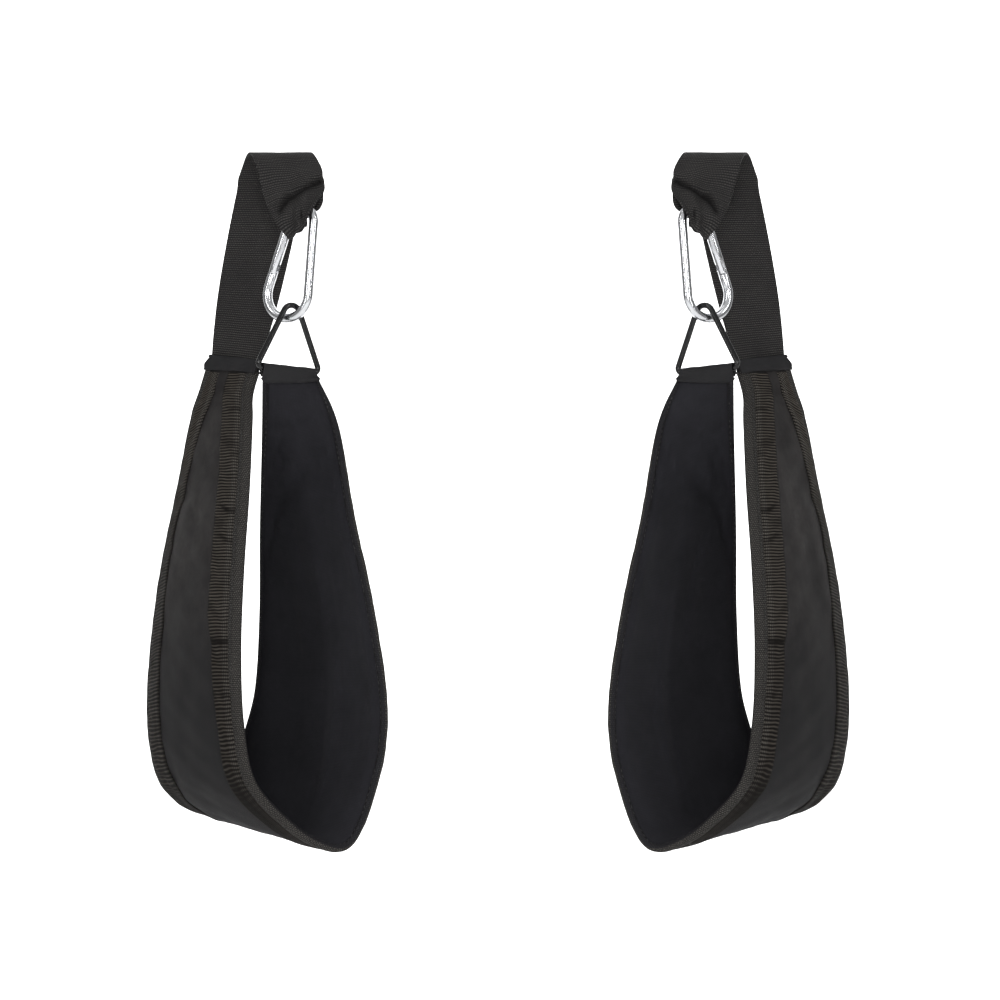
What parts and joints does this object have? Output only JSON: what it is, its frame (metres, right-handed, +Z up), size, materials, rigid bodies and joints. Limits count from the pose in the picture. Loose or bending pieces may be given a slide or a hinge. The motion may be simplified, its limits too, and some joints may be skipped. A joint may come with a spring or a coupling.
{
  "type": "ab strap pair",
  "caption": "Mirrored pair of padded hanging arm slings, each held on a round bar by a wrapped webbing strap, a sprung snap hook and a triangular steel ring.",
  "frame": {"origin": "on the axis of the bar that holds the pair up, midway between the two straps", "axes": "+X along the bar, +Z up, -Y towards the viewer of the picture"},
  "size_m": [0.5396, 0.1281, 0.5148],
  "materials": {
    "webbing": "woven nylon webbing, matte",
    "zinc_steel": "bright zinc plate",
    "spring_steel": "plain spring steel",
    "black_steel": "semi-gloss black coating",
    "outer_cloth": "woven nylon cloth, matte",
    "ribbed_band": "gathered ribbed cloth, matte",
    "binding_tape": "woven binding tape, matte",
    "foam": "soft open foam",
    "lining": "smooth soft lining, matte"
  },
  "bodies": {
    "left_strap": {"left_bar_strap": "webbing", "left_ring_keeper": "lining", "left_end_cover": "outer_cloth", "left_sling_shell": "outer_cloth", "left_sling_padding": "foam", "left_sling_lining": "lining", "left_near_ribbed_band": "ribbed_band", "left_far_ribbed_band": "ribbed_band", "left_near_binding": "binding_tape", "left_far_binding": "binding_tape"},
    "left_hook": {"left_carabiner_body": "zinc_steel", "left_gate_rivet": "zinc_steel"},
    "left_gate": {"left_carabiner_gate": "zinc_steel", "left_gate_latch_pin": "zinc_steel", "left_gate_spring": "spring_steel", "left_gate_plunger": "spring_steel"},
    "left_ring": {"left_triangle_ring": "black_steel"},
    "right_strap": {"right_bar_strap": "webbing", "right_ring_keeper": "lining", "right_end_cover": "outer_cloth", "right_sling_shell": "outer_cloth", "right_sling_padding": "foam", "right_sling_lining": "lining", "right_near_ribbed_band": "ribbed_band", "right_far_ribbed_band": "ribbed_band", "right_near_binding": "binding_tape", "right_far_binding": "binding_tape"},
    "right_hook": {"right_carabiner_body": "zinc_steel", "right_gate_rivet": "zinc_steel"},
    "right_gate": {"right_carabiner_gate": "zinc_steel", "right_gate_latch_pin": "zinc_steel", "right_gate_spring": "spring_steel", "right_gate_plunger": "spring_steel"},
    "right_ring": {"right_triangle_ring": "black_steel"}
  },
  "joints": [
    {"name": "right_strap_swing", "type": "hinge", "parent": "left_strap", "child": "right_strap", "pos_m": [0, 0, 0], "axis": [1, 0, 0], "range_deg": [-60, 60]},
    {"name": "left_hook_swing", "type": "hinge", "parent": "left_strap", "child": "left_hook", "pos_m": [-0.14479, -0.02215, -0.03397], "axis": [0.4996, 0.8654, -0.0381], "range_deg": [-8, 2]},
    {"name": "left_gate_hinge", "type": "hinge", "parent": "left_hook", "child": "left_gate", "pos_m": [-0.15487, -0.01636, -0.03465], "axis": [-0.4996, -0.8654, 0.0381], "range_deg": [0, 28], "stiffness_Nm_per_rad": 0.02, "springref_deg": -20.05},
    {"name": "left_ring_swing", "type": "hinge", "parent": "left_strap", "child": "left_ring", "pos_m": [-0.15477, -0.02207, -0.14333], "axis": [0.846, 0.5286, -0.0698], "range_deg": [-1.5, 0.8]},
    {"name": "right_hook_swing", "type": "hinge", "parent": "right_strap", "child": "right_hook", "pos_m": [0.14479, -0.02215, -0.03397], "axis": [0.4996, -0.8654, 0.0381], "range_deg": [-8, 2]},
    {"name": "right_gate_hinge", "type": "hinge", "parent": "right_hook", "child": "right_gate", "pos_m": [0.15487, -0.01636, -0.03465], "axis": [-0.4996, 0.8654, -0.0381], "range_deg": [0, 28], "stiffness_Nm_per_rad": 0.02, "springref_deg": -20.05},
    {"name": "right_ring_swing", "type": "hinge", "parent": "right_strap", "child": "right_ring", "pos_m": [0.15477, -0.02207, -0.14333], "axis": [0.846, -0.5286, 0.0698], "range_deg": [-1.5, 0.8]}
  ]
}
